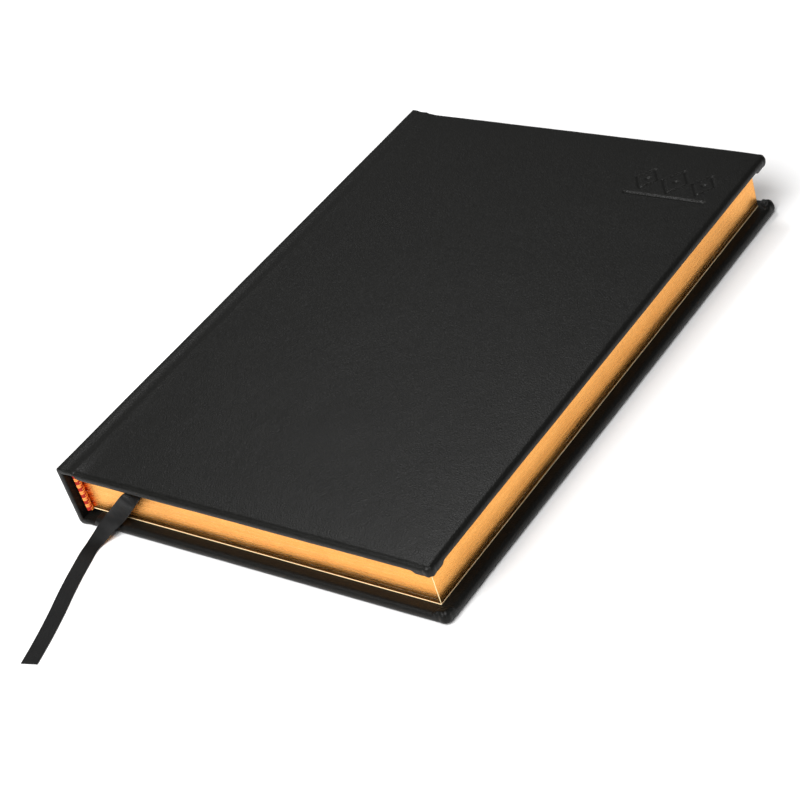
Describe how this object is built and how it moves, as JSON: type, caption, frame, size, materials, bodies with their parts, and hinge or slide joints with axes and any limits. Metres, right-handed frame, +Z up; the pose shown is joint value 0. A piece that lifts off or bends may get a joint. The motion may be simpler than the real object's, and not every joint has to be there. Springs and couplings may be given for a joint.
{
  "type": "prayer book",
  "caption": "Hardcover prayer book with padded leather covers, gilt page edges, sewn sections and a ribbon marker; the covers and first pages hinge open.",
  "frame": {"origin": "under the middle of the closed book, on the surface it lies on, without the ribbon's free end", "axes": "+X from the spine to the fore-edge, +Y from the tail to the head, +Z up through the closed book from its back cover to its front cover"},
  "size_m": [0.151, 0.2739, 0.0244],
  "materials": {
    "cover_leather": "satin, fine grain",
    "padding_foam": "foam",
    "greyboard": "matte paper board",
    "endpaper": "matte paper",
    "gilt_pages": "paper with gilt edges",
    "kraft_lining": "matte black paper",
    "mull_cloth": "open weave, dyed black",
    "headband_thread": "striped thread",
    "ribbon_satin": "woven satin"
  },
  "bodies": {
    "back_cover": {"back_leather": "cover_leather", "back_padding": "padding_foam", "back_board": "greyboard", "back_pastedown": "endpaper", "ribbon_tail": "ribbon_satin"},
    "book_block": {"back_joint_leather": "cover_leather", "front_joint_leather": "cover_leather", "spine_leather": "cover_leather", "spine_board": "greyboard", "spine_lining": "kraft_lining", "spine_mull": "mull_cloth", "headband_head": "headband_thread", "headband_tail": "headband_thread", "back_flyleaf": "endpaper", "section_10": "gilt_pages", "section_09": "gilt_pages", "section_08": "gilt_pages", "section_07": "gilt_pages", "section_06": "gilt_pages", "section_05": "gilt_pages", "section_04": "gilt_pages", "section_03": "gilt_pages", "ribbon_inner": "ribbon_satin"},
    "second_section": {"section_02": "gilt_pages"},
    "first_section": {"section_01": "gilt_pages"},
    "front_end_leaf": {"front_flyleaf": "endpaper"},
    "front_cover": {"front_pastedown": "endpaper", "front_board": "greyboard", "front_padding": "padding_foam", "front_leather": "cover_leather"}
  },
  "joints": [
    {"name": "block_hinge", "type": "hinge", "parent": "back_cover", "child": "book_block", "pos_m": [-0.0744, 0, 0.0011], "axis": [0, -1, 0], "range_deg": [0, 90]},
    {"name": "front_cover_hinge", "type": "hinge", "parent": "book_block", "child": "front_cover", "pos_m": [-0.0744, 0, 0.0233], "axis": [0, -1, 0], "range_deg": [0, 178]},
    {"name": "front_end_leaf_turn", "type": "hinge", "parent": "book_block", "child": "front_end_leaf", "pos_m": [-0.0721, 0, 0.0233], "axis": [0, -1, 0], "range_deg": [0, 170.88]},
    {"name": "first_section_turn", "type": "hinge", "parent": "book_block", "child": "first_section", "pos_m": [-0.0721, 0, 0.0233], "axis": [0, -1, 0], "range_deg": [0, 163.77]},
    {"name": "second_section_turn", "type": "hinge", "parent": "book_block", "child": "second_section", "pos_m": [-0.0721, 0, 0.0233], "axis": [0, -1, 0], "range_deg": [0, 154.86]}
  ],
  "couplings": [
    {"joint": "front_end_leaf_turn", "follows": "front_cover_hinge", "ratio": 0.96},
    {"joint": "first_section_turn", "follows": "front_cover_hinge", "ratio": 0.92},
    {"joint": "second_section_turn", "follows": "front_cover_hinge", "ratio": 0.87}
  ]
}
